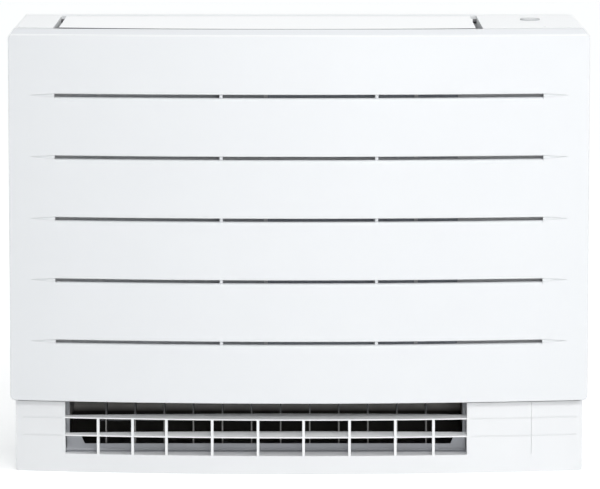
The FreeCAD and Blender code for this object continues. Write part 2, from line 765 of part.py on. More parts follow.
def turbo_fan():
    # Shroud ring, dished back plate with hub, and backward leaning blades
    front = fan_front_y
    d = fan_deep
    shroud = [(fan_eye_r + 4.0, front), (fan_eye_r + 7.0, front), (fan_r, front + 0.278 * d), (fan_r, front + 0.32 * d)]
    y = fan_back_y
    dish = y - 0.639 * d
    plate = [(shaft_r + hub_gap, dish), (motor_r + 2.0, y - 0.472 * d), (motor_r + 20.0, y - 3.0),
             (fan_r, y - 3.0), (fan_r, y), (motor_r + 18.0, y), (motor_r, y - 0.431 * d),
             (shaft_r + hub_gap, dish + 0.111 * d)]
    body = turned(shroud, fan_x, fan_z).fuse(turned(plate, fan_x, fan_z))
    # One bent blade, repeated round the axis
    inner = motor_r + 28.0
    outer = fan_r - 1.0
    lean = math.radians(38.0)
    mid_r = 0.5 * (inner + outer)
    curve = [V(inner, 0, 0), V(mid_r * math.cos(0.6 * lean), 0, mid_r * math.sin(0.6 * lean)),
             V(outer * math.cos(lean), 0, outer * math.sin(lean))]
    thin = V(-blade_thick * math.sin(0.5 * lean), 0, blade_thick * math.cos(0.5 * lean))
    edge = curve + [point + thin for point in reversed(curve)]
    tip_y = front + 0.278 * d - 1.0
    blade = prism(edge, V(0, y - 2.5 - tip_y, 0))
    blade.translate(V(fan_x, tip_y, fan_z))
    blades = []
    for i in range(fan_blades):
        turn = blade.copy()
        turn.rotate(V(fan_x, 0, fan_z), V(0, 1, 0), 360.0 * i / fan_blades)
        blades.append(turn)
    return body.fuse(blades)


def fan_motor():
    nose = fan_back_y - 0.333 * fan_deep
    body = rod(fan_x, nose, fan_z, (0, 1, 0), motor_r - 6.0, housing_back_y - nose)
    flange = facet_rod(fan_x, housing_back_y - 4.0, fan_z, (0, 1, 0), motor_r + 8.0, 4.0, 24)
    body = body.fuse(flange)
    return body.cut(rod(fan_x, nose - 1.0, fan_z, (0, 1, 0), shaft_r + pin_gap, housing_back_y - nose + 2.0))


def motor_screws():
    # Hexagon heads on the motor flange
    screws = []
    for i in range(3):
        a = math.radians(90.0 + 120.0 * i)
        x = fan_x + (motor_r + 2.0) * math.cos(a)
        z = fan_z + (motor_r + 2.0) * math.sin(a)
        screws.append(facet_rod(x, housing_back_y - 7.0, z, (0, 1, 0), 4.0, 3.0, 6))
    return group(screws)


def fan_shaft():
    start = fan_back_y - 0.806 * fan_deep
    return rod(fan_x, start, fan_z, (0, 1, 0), shaft_r, housing_back_y - 5.5 - start)


def tube_rows():
    rows = []
    for i in range(tube_count):
        rows.append((coil_y0 + tube_inset + (coil_thick - 2.0 * tube_inset) * (i % 2), coil_z0 + tube_end + tube_pitch * i))
    return rows


def fin_pack():
    # Fins joined by a thin web in the middle of the coil
    body = block(coil_x0, coil_x1, coil_y0, coil_y1, coil_z0, coil_z1)
    pitch = (coil_x1 - coil_x0) / fin_count
    reach = 0.5 * (coil_y1 - coil_y0 - fin_web)
    cuts = []
    for i in range(fin_count):
        x0 = coil_x0 + pitch * i + 0.5 * fin_thick
        x1 = x0 + pitch - fin_thick
        for y0 in (coil_y0 - 1.0, coil_y1 - reach):
            cuts.append(block(x0, x1, y0, y0 + reach + 1.0, coil_z0 - 1.0, coil_z1 + 1.0))
    return body.cut(group(cuts))


def end_plate(x0):
    # Coil end plate, fixed to the partition behind it
    return block(x0, x0 + end_plate_thick, coil_y0, housing_front_y - 3.0, coil_z0 - 4.0, coil_z1)


def tube(points, radius, sides):
    # Drawn tube along straight runs, with a faceted section
    axis = points[1] - points[0]
    circle = Part.makeCircle(radius, points[0], axis)
    corners = circle.discretize(sides + 1)
    corners[-1] = corners[0]
    path = Part.Wire(Part.makePolygon(points))
    return path.makePipeShell([Part.Wire(Part.makePolygon(corners))], True, False, 1)


def return_bends():
    # Hairpin bends outside the two end plates
    bends = []
    rows = tube_rows()
    for i in range(len(rows) - 1):
        side = 1 if i % 2 else -1
        (y0, z0), (y1, z1) = rows[i], rows[i + 1]
        x = coil_x0 - end_plate_thick if side < 0 else coil_x1 + end_plate_thick
        reach = x + side * bend_reach
        bends.append(tube([V(x, y0, z0), V(reach, y0, z0), V(reach, y1, z1), V(x, y1, z1)], tube_r, 8))
    return group(bends)


def drain_pan():
    x0 = duct_left - 40.0
    x1 = duct_right + duct_wall
    y0 = coil_y0 - 8.0
    y1 = housing_front_y - 3.0
    pan = block(x0, x1, y0, y1, duct_roof, coil_z0 - 4.0)
    pan = pan.cut(block(x0 + 2.0, x1 - 2.0, y0 + 2.0, y1 - 2.0, duct_roof + 2.5, coil_z0))
    # Spigot for the drain hose at the left end
    spigot_y = coil_y0 + 20.0
    spigot = ring(x0 + 16.0, spigot_y, duct_roof - 30.0, (0, 0, 1), 8.0, 6.0, 30.0)
    pan = pan.cut(rod(x0 + 16.0, spigot_y, duct_roof - 1.0, (0, 0, 1), 6.0, 5.0))
    # Two ledges that carry the coil
    for x in (coil_x0 + 4.0, coil_x1 - 8.0):
        pan = pan.fuse(block(x, x + 4.0, y0 + 1.0, y1 - 1.0, duct_roof + 2.0, coil_z0))
    return pan.fuse(spigot)


def front_frame():
    # Frame behind the front panel with the filter windows
    plate = block(-inner_half, inner_half, frame_y0, frame_y1, lower_top + 21.0, top_skirt_z)
    x0 = duct_left + 10.0
    x1 = duct_right - 12.0
    plate = plate.cut(block(x0, x1, frame_y0 - 1.0, frame_y1 + 1.0, window_z0, window_z1))
    bars = []
    for x in [duct_left + share * duct_wide for share in window_bar_share]:
        bars.append(block(x - 2.5, x + 2.5, frame_y0, frame_y1, window_z0 - 1.0, window_z1 + 1.0))
    for i in range(1, 4):
        z = window_z0 + 0.25 * i * (window_z1 - window_z0)
        bars.append(block(x0 - 1.0, x1 + 1.0, frame_y0, frame_y1, z - 2.0, z + 2.0))
    # Rail under the filters
    bars.append(block(x0, x1, frame_y1 - 0.5, frame_y1 + filter_thick + 2.0, window_z0 - 9.0, window_z0 - 6.0))
    return fused([plate] + bars)


def air_filter(x0, x1):
    # Frame of an air filter with a mesh backed by crossing ribs
    y0 = frame_y1
    y1 = frame_y1 + filter_thick
    z0 = window_z0 - 6.0
    z1 = window_z1 + 6.0
    body = block(x0, x1, y0, y1, z0, z1)
    body = body.cut(block(x0 + 6.0, x1 - 6.0, y0 - 1.0, y0 + 2.4, z0 + 6.0, z1 - 6.0))
    body = body.cut(block(x0 + 6.0, x1 - 6.0, y0 + 3.2, y1 + 1.0, z0 + 6.0, z1 - 6.0))
    ribs = []
    for i in range(1, 4):
        x = x0 + 0.25 * i * (x1 - x0)
        ribs.append(block(x - 1.5, x + 1.5, y0 + 2.0, y1, z0 + 1.0, z1 - 1.0))
    for i in range(1, 6):
        z = z0 + (z1 - z0) * i / 6.0
        ribs.append(block(x0 + 1.0, x1 - 1.0, y0 + 2.0, y1, z - 1.5, z + 1.5))
    return fused([body] + ribs)


def control_box():
    w = box_wall
    body = block(box_x0, box_x1, box_y0, box_y1, box_z0, box_z1)
    return body.cut(block(box_x0 + w, box_x1 - w, box_y0 - 1.0, box_y1 - w, box_z0 + w, box_z1 - w))


def control_box_cover():
    lid = block(box_x0, box_x1, box_y0 - 1.5, box_y0, box_z0, box_z1)
    return lid.cut(block(box_x0 + 20.0, box_x0 + 60.0, box_y0 - 3.0, box_y0 + 1.0, box_z0 + 12.0, box_z0 + 40.0))


def circuit_board():
    # Board on four posts with its larger components
    y = box_y1 - box_wall
    board = block(box_x0 + 10.0, box_x1 - 10.0, y - 11.6, y - 10.0, box_z0 + 0.25 * box_tall, box_z1 - 12.0)
    for x in (box_x0 + 16.0, box_x1 - 16.0):
        for z in (box_z0 + 0.25 * box_tall + 8.0, box_z1 - 20.0):
            board = board.fuse(block(x - 3.0, x + 3.0, y - 10.0, y, z - 3.0, z + 3.0))
    for off, up, wide, tall, proud in ((26.0, 0.357, 18.0, 18.0, 26.0), (64.0, 0.4, 30.0, 22.0, 14.0),
                                       (89.0, 0.643, 24.0, 24.0, 18.0), (34.0, 0.75, 34.0, 12.0, 9.0)):
        x = box_x0 + off
        z = box_z0 + up * box_tall
        board = board.fuse(block(x, x + wide, y - 11.6 - proud, y - 11.6, z, z + tall))
    return board


def terminal_block():
    y = box_y1 - box_wall
    body = block(box_x0 + 20.0, box_x0 + 92.0, y - 24.0, y, box_z0 + 16.0, box_z0 + 40.0)
    for i in range(4):
        x = box_x0 + 24.0 + 17.0 * i
        body = body.cut(block(x, x + 13.0, y - 25.0, y - 12.0, box_z0 + 20.0, box_z0 + 36.0))
    return body


def pipe_run(row, x, end_x, radius):
    # From a free tube end on the coil down the right compartment to the back
    y, z = tube_rows()[row]
    start = coil_x1 + end_plate_thick
    return tube([V(start, y, z), V(x, y, z), V(x, y, pipe_z), V(end_x, pipe_turn_y, pipe_z),
                 V(end_x, pipe_end_y, pipe_z)], radius, 16)


def flare_nut(x, radius, across):
    nut = facet_rod(x, pipe_end_y, pipe_z, (0, 1, 0), 0.5 * across, nut_long, 6)
    return nut.cut(facet_rod(x, pipe_end_y + 0.4 * nut_long, pipe_z, (0, 1, 0), radius, nut_long))


def step_motor(x, y, z, axis, length, shift):
    # Small geared motor whose shaft sits off the centre of its can
    return facet_rod(x + shift[0], y + shift[1], z + shift[2], axis, step_motor_r, length, 24)


save("front_panel", front_panel())
save("left_side_panel", side_panel(-1).cut(foot_corners()))
save("right_side_panel", side_panel(1).cut(foot_corners()))
save("back_panel", back_panel().cut(foot_corners()))
save("base_tray", base_tray().cut(foot_corners()))
save("left_top_cover", left_top_cover())
save("right_top_cover", right_top_cover())
save("rear_rail", rear_rail())
save("upper_flap", upper_flap())
save("push_button", push_button())
save("indicator_lamp", indicator_lamp())
save("control_board", control_board())
save("lower_front", lower_front().cut(foot_corners()))
save("service_cover", service_cover().cut(foot_corners()))
save("outlet_grille", outlet_grille())
for i, x in enumerate(low_vane_xs()):
    save("lower_vane_%02d" % (i + 1), vane(x, low_vane_y, low_vane_z0, low_vane_z1, 6.0))
save("lower_tie_bar", tie_bar(low_vane_xs(), low_vane_y, low_vane_z0, low_vane_z1))
for i, x in enumerate(top_vane_xs()):
    save("upper_vane_%02d" % (i + 1), vane(x, top_vane_y, top_vane_z0, top_vane_z1, 3.5))
save("upper_tie_bar", tie_bar(top_vane_xs(), top_vane_y, top_vane_z0, top_vane_z1))
save("lower_flap", lower_flap())
save("lower_duct", lower_duct())
save("upper_duct", upper_duct())
save("fan_housing", fan_housing())
save("bell_mouth", bell_mouth())
save("turbo_fan", turbo_fan())
save("fan_motor", fan_motor())
save("motor_screws", motor_screws())
save("fan_shaft", fan_shaft())
save("fin_pack", fin_pack())
save("left_end_plate", end_plate(coil_x0 - end_plate_thick))
save("right_end_plate", end_plate(coil_x1))
save("return_bends", return_bends())
save("drain_pan", drain_pan())
save("front_frame", front_frame())
save("left_filter", air_filter(duct_left + 2.0, fan_x - 1.0))
save("right_filter", air_filter(fan_x + 1.0, duct_right - 2.0))
save("control_box", control_box())
save("control_box_cover", control_box_cover())
save("circuit_board", circuit_board())
save("terminal_block", terminal_block())
save("gas_pipe", pipe_run(tube_count - 1, gas_x, gas_end_x, gas_r))
save("liquid_pipe", pipe_run(0, liquid_x, liquid_end_x, liquid_r))
nuts = [flare_nut(gas_end_x, gas_r, gas_nut_across), flare_nut(liquid_end_x, liquid_r, liquid_nut_across)]
save("flare_nuts", group(nuts))
motors = [step_motor(low_vane_xs()[-1], low_vane_y, base_thick, (0, 0, 1), duct_floor - base_thick, (0, 8.0, 0))]
motors.append(step_motor(duct_right + duct_wall, low_flap_y, low_flap_pin_z, (1, 0, 0), step_motor_long, (0, 0, 8.0)))
motors.append(step_motor(top_open_right + case_wall, flap_pivot_y, flap_pivot_z(), (1, 0, 0), step_motor_long, (0, 0, -8.5)))
save("step_motors", group(motors))
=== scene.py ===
import bpy
import math
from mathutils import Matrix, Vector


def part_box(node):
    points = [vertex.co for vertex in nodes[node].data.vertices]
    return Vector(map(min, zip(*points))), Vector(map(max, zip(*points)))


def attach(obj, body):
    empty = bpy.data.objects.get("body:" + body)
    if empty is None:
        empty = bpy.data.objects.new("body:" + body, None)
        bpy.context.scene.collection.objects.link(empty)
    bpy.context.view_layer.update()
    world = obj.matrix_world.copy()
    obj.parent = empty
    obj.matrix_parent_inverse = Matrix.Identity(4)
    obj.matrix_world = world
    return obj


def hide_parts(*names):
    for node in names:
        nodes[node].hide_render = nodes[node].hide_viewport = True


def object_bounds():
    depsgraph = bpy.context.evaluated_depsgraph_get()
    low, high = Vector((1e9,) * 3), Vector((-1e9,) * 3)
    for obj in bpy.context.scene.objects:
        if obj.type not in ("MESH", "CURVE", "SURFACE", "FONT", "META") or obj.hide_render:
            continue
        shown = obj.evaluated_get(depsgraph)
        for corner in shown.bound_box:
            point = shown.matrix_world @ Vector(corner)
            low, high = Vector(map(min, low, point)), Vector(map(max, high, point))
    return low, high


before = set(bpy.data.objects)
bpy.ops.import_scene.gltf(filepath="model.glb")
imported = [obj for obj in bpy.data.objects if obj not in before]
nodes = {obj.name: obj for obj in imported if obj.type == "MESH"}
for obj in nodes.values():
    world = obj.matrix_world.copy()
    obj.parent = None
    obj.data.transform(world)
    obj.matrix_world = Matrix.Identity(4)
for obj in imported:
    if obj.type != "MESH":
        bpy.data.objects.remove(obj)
cad_low, cad_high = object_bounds()


# Casing: side walls, back, base, top covers and rear rail of the unit, injection
# moulded in white plastic with a very fine spark-eroded grain and small rounded
# edges, clipped and screwed together.
edge_round = 0.0004


def grain_group():
    group = bpy.data.node_groups.new("moulded_grain", "ShaderNodeTree")
    face = group.interface
    for name, value in (("Grain Scale", 1500.0), ("Grain Depth", 0.05),
                        ("Cloud Scale", 6.0), ("Edge Radius", edge_round)):
        socket = face.new_socket(name, in_out="INPUT", socket_type="NodeSocketFloat")
        socket.default_value = value
    face.new_socket("Cloud", in_out="OUTPUT", socket_type="NodeSocketFloat")
    face.new_socket("Speck", in_out="OUTPUT", socket_type="NodeSocketFloat")
    face.new_socket("Normal", in_out="OUTPUT", socket_type="NodeSocketVector")
    inputs = group.nodes.new("NodeGroupInput")
    outputs = group.nodes.new("NodeGroupOutput")
    place = group.nodes.new("ShaderNodeTexCoord")
    fine = group.nodes.new("ShaderNodeTexNoise")
    fine.inputs["Detail"].default_value = 2.0
    cloud = group.nodes.new("ShaderNodeTexNoise")
    cloud.inputs["Detail"].default_value = 3.0
    bump = group.nodes.new("ShaderNodeBump")
    bump.inputs["Distance"].default_value = 0.0004
    edge = group.nodes.new("ShaderNodeBevel")
    edge.samples = 4
    link = group.links.new
    link(inputs.outputs["Edge Radius"], edge.inputs["Radius"])
    link(edge.outputs["Normal"], bump.inputs["Normal"])
    link(place.outputs["Object"], fine.inputs["Vector"])
    link(place.outputs["Object"], cloud.inputs["Vector"])
    link(inputs.outputs["Grain Scale"], fine.inputs["Scale"])
    link(inputs.outputs["Cloud Scale"], cloud.inputs["Scale"])
    link(inputs.outputs["Grain Depth"], bump.inputs["Strength"])
    link(fine.outputs["Fac"], bump.inputs["Height"])
    link(cloud.outputs["Fac"], outputs.inputs["Cloud"])
    link(fine.outputs["Fac"], outputs.inputs["Speck"])
    link(bump.outputs["Normal"], outputs.inputs["Normal"])
    return group


moulded_grain = grain_group()


def moulded(name, colour, shade, rough, grain, depth, coat=0.0, edge=edge_round):
    material = bpy.data.materials.new(name)
    material.use_nodes = True
    tree = material.node_tree
    surface = tree.nodes["Principled BSDF"]
    grains = tree.nodes.new("ShaderNodeGroup")
    grains.node_tree = moulded_grain
    grains.inputs["Grain Scale"].default_value = grain
    grains.inputs["Grain Depth"].default_value = depth
    grains.inputs["Edge Radius"].default_value = edge
    tint = tree.nodes.new("ShaderNodeMix")
    tint.data_type = "RGBA"
    tint.inputs["A"].default_value = (*shade, 1.0)
    tint.inputs["B"].default_value = (*colour, 1.0)
    spread = tree.nodes.new("ShaderNodeMapRange")
    spread.inputs["From Min"].default_value = 0.3
    spread.inputs["From Max"].default_value = 0.7
    spread.inputs["To Min"].default_value = rough - 0.04
    spread.inputs["To Max"].default_value = rough + 0.05
    tree.links.new(grains.outputs["Cloud"], tint.inputs["Factor"])
    tree.links.new(tint.outputs["Result"], surface.inputs["Base Color"])
    tree.links.new(grains.outputs["Speck"], spread.inputs["Value"])
    tree.links.new(spread.outputs["Result"], surface.inputs["Roughness"])
    tree.links.new(grains.outputs["Normal"], surface.inputs["Normal"])
    surface.inputs["Coat Weight"].default_value = coat
    surface.inputs["Coat Roughness"].default_value = 0.25
    return material


def dress(material, *names):
    for name in names:
        for slot in nodes[name].material_slots:
            slot.material = material


casing = moulded("casing_white", (0.87, 0.88, 0.89), (0.845, 0.855, 0.87), 0.48, 1600.0, 0.05)
dress(casing, "left_side_panel", "right_side_panel", "back_panel", "base_tray", "rear_rail")
top_white = moulded("top_white", (0.92, 0.925, 0.93), (0.895, 0.90, 0.91), 0.46, 1600.0, 0.05)
dress(top_white, "left_top_cover", "right_top_cover")


# Lower front, service cover and outlet grille: one bowed face in two white
# mouldings, with the grille of a clearer white snapped into the opening.
lower_white = moulded("lower_white", (0.85, 0.855, 0.865), (0.825, 0.83, 0.845), 0.46, 1600.0, 0.05)
dress(lower_white, "lower_front", "service_cover")
grille_white = moulded("grille_white", (0.94, 0.945, 0.95), (0.92, 0.925, 0.93), 0.60, 1600.0, 0.05)
dress(grille_white, "outlet_grille")


# Front panel: one satin white moulding that stands on two bottom pins, with a
# finer grain than the casing and wider rounded edges. Its top flange is darkened
# as painted shade, and a painted highlight runs along the bowed front edge.
panel_round = 0.0018
panel_white = moulded("panel_white", (0.82, 0.83, 0.845), (0.795, 0.805, 0.825), 0.45, 2200.0, 0.03,
                      coat=0.04, edge=panel_round)
dress(panel_white, "front_panel")


def distance(tree, centre, counted):
    place = tree.nodes.new("ShaderNodeTexCoord")
    away = tree.nodes.new("ShaderNodeVectorMath")
    away.operation = "SUBTRACT"
    away.inputs[1].default_value = centre
    flat = tree.nodes.new("ShaderNodeVectorMath")
    flat.operation = "MULTIPLY"
    flat.inputs[1].default_value = counted
    far = tree.nodes.new("ShaderNodeVectorMath")
    far.operation = "LENGTH"
    tree.links.new(place.outputs["Object"], away.inputs[0])
    tree.links.new(away.outputs["Vector"], flat.inputs[0])
    tree.links.new(flat.outputs["Vector"], far.inputs[0])
    return far.outputs["Value"]


def fade(tree, value, bare, full):
    mask = tree.nodes.new("ShaderNodeMapRange")
    mask.inputs["From Min"].default_value = bare
    mask.inputs["From Max"].default_value = full
    tree.links.new(value, mask.inputs["Value"])
    return mask.outputs["Result"]


def recolour(tree, mask, colour):
    base = tree.nodes["Principled BSDF"].inputs["Base Color"]
    tint = tree.nodes.new("ShaderNodeMix")
    tint.data_type = "RGBA"
    tint.inputs["B"].default_value = (*colour, 1.0)
    tree.links.new(mask, tint.inputs["Factor"])
    tree.links.new(base.links[0].from_socket, tint.inputs["A"])
    tree.links.new(tint.outputs["Result"], base)


front_bow = 0.032
bow_radius = (cad_high[0] ** 2 + front_bow ** 2) / (2.0 * front_bow)
bow_centre = cad_low[1] + bow_radius
flange_z = 0.569
flange_shade_start = flange_z - 0.0006
flange_shade_full = flange_z - 0.0002
highlight_tall = 0.0016
highlight_start = bow_radius - 0.007
highlight_full = bow_radius - 0.005
panel_tree = panel_white.node_tree
panel_height = distance(panel_tree, (0.0, 0.0, 0.0), (0.0, 0.0, 1.0))
# Painted shade: the top flange is darkened as if turned away from the light.
recolour(panel_tree, fade(panel_tree, panel_height, flange_shade_start, flange_shade_full), (0.72, 0.73, 0.75))
# Painted highlight: a light band along the bowed front edge, where the light catches it.
highlight_level = distance(panel_tree, (0.0, 0.0, flange_z), (0.0, 0.0, 1.0))
highlight_reach = distance(panel_tree, (0.0, bow_centre, 0.0), (1.0, 1.0, 0.0))
rim_highlight = panel_tree.nodes.new("ShaderNodeMath")
rim_highlight.operation = "MULTIPLY"
panel_tree.links.new(fade(panel_tree, highlight_level, highlight_tall, 0.5 * highlight_tall), rim_highlight.inputs[0])
panel_tree.links.new(fade(panel_tree, highlight_reach, highlight_start, highlight_full), rim_highlight.inputs[1])
recolour(panel_tree, rim_highlight.outputs["Value"], (0.86, 0.865, 0.875))


# Upper flap: a satin white lid over the top outlet, moulded like the panel and
# hung on end pins at its rear edge; its ends with the pins and a thin band along
# its front edge are painted dark as the shade in the gaps round it.
flap_white = moulded("flap_white", (0.95, 0.955, 0.96), (0.93, 0.935, 0.945), 0.36, 2200.0, 0.03, coat=0.15)
dress(flap_white, "upper_flap")
flap_low, flap_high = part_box("upper_flap")
gap_shade_black = (0.06, 0.06, 0.065)
lip_radius = bow_centre - flap_low[1]
lip_shade_start = lip_radius - 0.0004
lip_shade_full = lip_radius - 0.0003
pin_long = 0.0075
pin_blend = 0.0002
flap_middle = 0.5 * (flap_low[0] + flap_high[0])
end_shade_start = 0.5 * (flap_high[0] - flap_low[0]) - pin_long
flap_tree = flap_white.node_tree
lip_reach = distance(flap_tree, (0.0, bow_centre, 0.0), (1.0, 1.0, 0.0))
# Painted shade: a thin dark band on the front edge stands for the shadow in the gap before it.
recolour(flap_tree, fade(flap_tree, lip_reach, lip_shade_start, lip_shade_full), gap_shade_black)
# Painted shade: both ends with their pins are dark as the shadow in the end gaps.
end_shade_reach = distance(flap_tree, (flap_middle, 0.0, 0.0), (1.0, 0.0, 0.0))
recolour(flap_tree, fade(flap_tree, end_shade_reach, end_shade_start, end_shade_start + pin_blend), gap_shade_black)


# Push button and indicator lamp in the right top cover: a satin white key in a
# round hole with painted shade as a grey ring round its edge, and a small smoked
# lens pressed in near the front edge.
button_white = moulded("button_white", (0.78, 0.79, 0.80), (0.75, 0.76, 0.77), 0.30, 2200.0, 0.03, coat=0.2)
dress(button_white, "push_button")
button_low, button_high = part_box("push_button")
button_centre = [0.5 * (low + high) for low, high in zip(button_low, button_high)]
ring_shade_start = 0.0098
ring_shade_full = 0.0104
button_tree = button_white.node_tree
ring_shade_reach = distance(button_tree, button_centre, (1.0, 1.0, 0.0))
# Painted shade: the outer ring of the key is grey as the shaded side of its raised edge.
recolour(button_tree, fade(button_tree, ring_shade_reach, ring_shade_start, ring_shade_full), (0.50, 0.51, 0.52))
lamp_lens = moulded("lamp_lens", (0.20, 0.21, 0.22), (0.16, 0.17, 0.18), 0.20, 2500.0, 0.02, coat=0.5)
dress(lamp_lens, "indicator_lamp")


# Lower flap at the sill: a mid grey moulded plate on end pins, matt so that it
# does not glare in the outlet.
flap_grey = moulded("flap_grey", (0.52, 0.53, 0.56), (0.46, 0.47, 0.50), 0.55, 1200.0, 0.08)
dress(flap_grey, "lower_flap")


# Vanes and tie bars of both outlets: thin dark grey blades that snap into the
# ducts by their end pins, all linked by a slotted bar; the lower vanes carry a
# painted highlight on their front edges and painted shade on their upper parts.
vane_dark = (0.060, 0.062, 0.065)
vane_shade = (0.045, 0.047, 0.050)
vane_grey = moulded("vane_grey", vane_dark, vane_shade, 0.50, 1200.0, 0.06)
dress(vane_grey, *["upper_vane_%02d" % (i + 1) for i in range(6)], "upper_tie_bar", "lower_tie_bar")
vane_lit_edged = moulded("vane_lit_edged", vane_dark, vane_shade, 0.50, 1200.0, 0.06)
lower_vanes = ["lower_vane_%02d" % (i + 1) for i in range(12)]
dress(vane_lit_edged, *lower_vanes)
vane_low, vane_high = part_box(lower_vanes[0])
vane_tall = vane_high[2] - vane_low[2]
lit_edge_wide = 0.0012
lit_edge_blend = 0.0002
lit_edge_start = vane_high[1] - vane_low[1] - lit_edge_wide
head_shade_start = 0.62 * vane_tall
head_shade_full = 0.72 * vane_tall
vane_tree = vane_lit_edged.node_tree
lit_edge_reach = distance(vane_tree, (0.0, vane_high[1], 0.0), (0.0, 1.0, 0.0))
# Painted highlight: the front edges are paler where the light catches them.
recolour(vane_tree, fade(vane_tree, lit_edge_reach, lit_edge_start, lit_edge_start + lit_edge_blend), (0.27, 0.265, 0.255))
head_shade_reach = distance(vane_tree, (0.0, 0.0, vane_low[2]), (0.0, 0.0, 1.0))
# Painted shade: the upper parts are darker where the panel shades them.
recolour(vane_tree, fade(vane_tree, head_shade_reach, head_shade_start, head_shade_full), (0.050, 0.052, 0.055))


# Upper duct, fan housing, bell mouth, drain pan and fan, moulded in near black
# plastic and screwed to the back, and the pale inner frame that carries the
# filters; all are only glimpsed through the openings.
duct_black = moulded("duct_black", (0.060, 0.055, 0.050), (0.040, 0.037, 0.034), 0.55, 900.0, 0.10)
dress(duct_black, "upper_duct", "fan_housing", "bell_mouth", "drain_pan")
frame_pale = moulded("frame_pale", (0.91, 0.92, 0.94), (0.86, 0.87, 0.90), 0.55, 900.0, 0.10)
dress(frame_pale, "front_frame")
fan_grey = moulded("fan_grey", (0.06, 0.062, 0.065), (0.045, 0.046, 0.048), 0.50, 900.0, 0.08)
dress(fan_grey, "turbo_fan")


# Lower duct behind the grille: near black inside and paler towards the roof as
# painted light, with pale upright ribs at both ends of its mouth, where it meets
# the lower front.
lower_black = moulded("lower_black", (0.045, 0.042, 0.039), (0.035, 0.033, 0.030), 0.55, 900.0, 0.10)
dress(lower_black, "lower_duct")
duct_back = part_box("lower_duct")[1][1]
roof_light_start = 0.050
roof_light_full = 0.057
rib_back = -0.0567
rib_blend = 0.0003
rib_start = duct_back - rib_back
duct_tree = lower_black.node_tree
roof_light_reach = distance(duct_tree, (0.0, 0.0, 0.0), (0.0, 0.0, 1.0))
# Painted light: the roof of the duct is paler as if lit through the grille.
recolour(duct_tree, fade(duct_tree, roof_light_reach, roof_light_start, roof_light_full), (0.64, 0.63, 0.61))
rib_reach = distance(duct_tree, (0.0, duct_back, 0.0), (0.0, 1.0, 0.0))
recolour(duct_tree, fade(duct_tree, rib_reach, rib_start, rib_start + rib_blend), (0.43, 0.44, 0.46))


# Air filters: a fine woven mesh moulded into thin ribbed frames that drop into
# the inner frame from the front; the pale left one is greyed towards the middle
# of the unit as painted shade, and the right one is of darker mesh.
def mesh_material(name, thread, hole):
    material = bpy.data.materials.new(name)
    material.use_nodes = True
    tree = material.node_tree
    surface = tree.nodes["Principled BSDF"]
    place = tree.nodes.new("ShaderNodeTexCoord")
    weave = []
    for direction in ("X", "Z"):
        wave = tree.nodes.new("ShaderNodeTexWave")
        wave.bands_direction = direction
        wave.inputs["Scale"].default_value = 160.0
        tree.links.new(place.outputs["Object"], wave.inputs["Vector"])
        weave.append(wave)
    both = tree.nodes.new("ShaderNodeMath")
    both.operation = "MAXIMUM"
    tree.links.new(weave[0].outputs["Fac"], both.inputs[0])
    tree.links.new(weave[1].outputs["Fac"], both.inputs[1])
    tint = tree.nodes.new("ShaderNodeMix")
    tint.data_type = "RGBA"
    tint.inputs["A"].default_value = (*hole, 1.0)
    tint.inputs["B"].default_value = (*thread, 1.0)
    tree.links.new(both.outputs["Value"], tint.inputs["Factor"])
    tree.links.new(tint.outputs["Result"], surface.inputs["Base Color"])
    bump = tree.nodes.new("ShaderNodeBump")
    bump.inputs["Strength"].default_value = 0.4
    bump.inputs["Distance"].default_value = 0.0005
    tree.links.new(both.outputs["Value"], bump.inputs["Height"])
    tree.links.new(bump.outputs["Normal"], surface.inputs["Normal"])
    surface.inputs["Roughness"].default_value = 0.65
    return material


pale_mesh = mesh_material("pale_mesh", (0.93, 0.95, 0.98), (0.84, 0.87, 0.92))
dress(pale_mesh, "left_filter")
filter_low, filter_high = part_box("left_filter")
filter_shade_full = 2.0 * (filter_high[0] - filter_low[0])
filter_tree = pale_mesh.node_tree
filter_shade_reach = distance(filter_tree, filter_low, (1.0, 0.0, 0.0))
# Painted shade: the left filter greys towards the middle of the unit.
recolour(filter_tree, fade(filter_tree, filter_shade_reach, 0.0, filter_shade_full), (0.36, 0.38, 0.42))
dress(mesh_material("dark_mesh", (0.58, 0.61, 0.68), (0.38, 0.41, 0.48)), "right_filter")


# Coil metals: end plates and tube bends, the pipes with their flare nuts, the
# motors and the control box, all plain sheet, drawn copper or turned steel.
def metal(name, colour, shade, rough, streak):
    material = bpy.data.materials.new(name)
    material.use_nodes = True
    tree = material.node_tree
    surface = tree.nodes["Principled BSDF"]
    grains = tree.nodes.new("ShaderNodeGroup")
    grains.node_tree = moulded_grain
    grains.inputs["Grain Scale"].default_value = streak
    grains.inputs["Grain Depth"].default_value = 0.04
    grains.inputs["Cloud Scale"].default_value = 25.0
    tint = tree.nodes.new("ShaderNodeMix")
    tint.data_type = "RGBA"
    tint.inputs["A"].default_value = (*shade, 1.0)
    tint.inputs["B"].default_value = (*colour, 1.0)
    spread = tree.nodes.new("ShaderNodeMapRange")
    spread.inputs["To Min"].default_value = rough - 0.08
    spread.inputs["To Max"].default_value = rough + 0.08
    tree.links.new(grains.outputs["Cloud"], tint.inputs["Factor"])
    tree.links.new(tint.outputs["Result"], surface.inputs["Base Color"])
    tree.links.new(grains.outputs["Cloud"], spread.inputs["Value"])
    tree.links.new(spread.outputs["Result"], surface.inputs["Roughness"])
    tree.links.new(grains.outputs["Normal"], surface.inputs["Normal"])
    surface.inputs["Metallic"].default_value = 1.0
    return material


